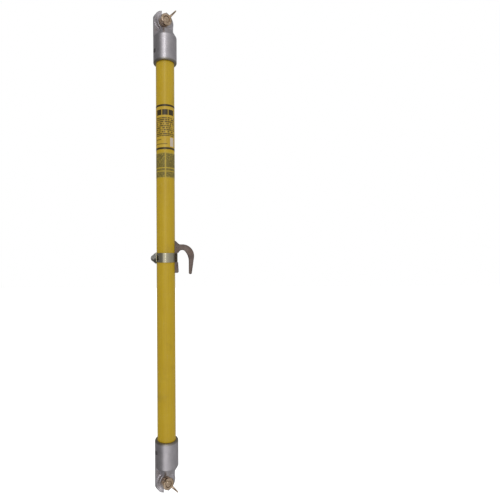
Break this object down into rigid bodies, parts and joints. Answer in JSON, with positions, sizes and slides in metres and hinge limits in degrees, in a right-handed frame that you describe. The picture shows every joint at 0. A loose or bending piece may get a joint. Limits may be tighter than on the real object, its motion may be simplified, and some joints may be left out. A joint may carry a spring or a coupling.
{
  "type": "lineman hot stick",
  "caption": "Foam-filled yellow fibreglass hot stick with cast universal heads, slotted for a captive bolt and wing nut, and a band-clamped hanger hook.",
  "frame": {"origin": "on the tube's axis at mid-length, inside the grip length", "axes": "+Z along the stick, +X towards the hanger hook, -Y towards the heads' faces and the clamp screw"},
  "size_m": [0.074, 0.046, 0.8318],
  "materials": {
    "fibreglass": "yellow gel-coated fibreglass, worn gloss",
    "foam": "rigid closed-cell foam",
    "label_film": "gold film with black bars",
    "text_film": "film with fine dark print",
    "plug_resin": "filled resin",
    "epoxy": "amber epoxy",
    "cast_aluminium": "tumbled casting",
    "pin_steel": "dull steel",
    "bronze": "aged cast bronze",
    "cast_iron": "brown casting",
    "stainless": "rolled strip",
    "dark_steel": "blackened steel"
  },
  "bodies": {
    "stick": {"tube": "fibreglass", "foam_core": "foam", "name_label": "label_film", "text_label": "text_film", "top_end_plug": "plug_resin", "top_bond_line": "epoxy", "top_head": "cast_aluminium", "top_cross_pin": "pin_steel", "top_slot_pin": "pin_steel", "bottom_end_plug": "plug_resin", "bottom_bond_line": "epoxy", "bottom_head": "cast_aluminium", "bottom_cross_pin": "pin_steel", "bottom_slot_pin": "pin_steel"},
    "hanger": {"hanger_hook": "cast_iron", "clamp_band": "stainless", "clamp_housing": "dark_steel"},
    "clamp_screw": {"clamp_screw": "dark_steel"},
    "top_bolt": {"top_bolt": "bronze"},
    "top_washer": {"top_washer": "bronze"},
    "top_wing_nut": {"top_wing_nut": "bronze"},
    "bottom_bolt": {"bottom_bolt": "bronze"},
    "bottom_washer": {"bottom_washer": "bronze"},
    "bottom_wing_nut": {"bottom_wing_nut": "bronze"}
  },
  "joints": [
    {"name": "hanger_slide", "type": "slide", "parent": "stick", "child": "hanger", "axis": [0, 0, 1], "range_m": [-0.284, 0.302]},
    {"name": "clamp_screw_turn", "type": "hinge", "parent": "hanger", "child": "clamp_screw", "pos_m": [-0.02073, 0, -0.011], "axis": [0, -1, 0], "range_deg": [0, 900]},
    {"name": "top_bolt_slide", "type": "slide", "parent": "stick", "child": "top_bolt", "axis": [0.5373, -0.8434, 0], "range_m": [0, 0.0078]},
    {"name": "top_nut_feed", "type": "slide", "parent": "top_bolt", "child": "top_washer", "axis": [0.5373, -0.8434, 0], "range_m": [0, 0.002]},
    {"name": "top_wing_turn", "type": "hinge", "parent": "top_washer", "child": "top_wing_nut", "pos_m": [-0.00108, 0.00169, 0.3979], "axis": [0.5373, -0.8434, 0], "range_deg": [0, 505]},
    {"name": "bottom_bolt_slide", "type": "slide", "parent": "stick", "child": "bottom_bolt", "axis": [0.5373, -0.8434, 0], "range_m": [0, 0.0078]},
    {"name": "bottom_nut_feed", "type": "slide", "parent": "bottom_bolt", "child": "bottom_washer", "axis": [0.5373, -0.8434, 0], "range_m": [0, 0.002]},
    {"name": "bottom_wing_turn", "type": "hinge", "parent": "bottom_washer", "child": "bottom_wing_nut", "pos_m": [-0.00108, 0.00169, -0.3979], "axis": [0.5373, -0.8434, 0], "range_deg": [0, 505]}
  ],
  "couplings": [
    {"joint": "top_nut_feed", "follows": "top_wing_turn", "m_per_rad": 0.00022457},
    {"joint": "bottom_nut_feed", "follows": "bottom_wing_turn", "m_per_rad": 0.00022457}
  ]
}
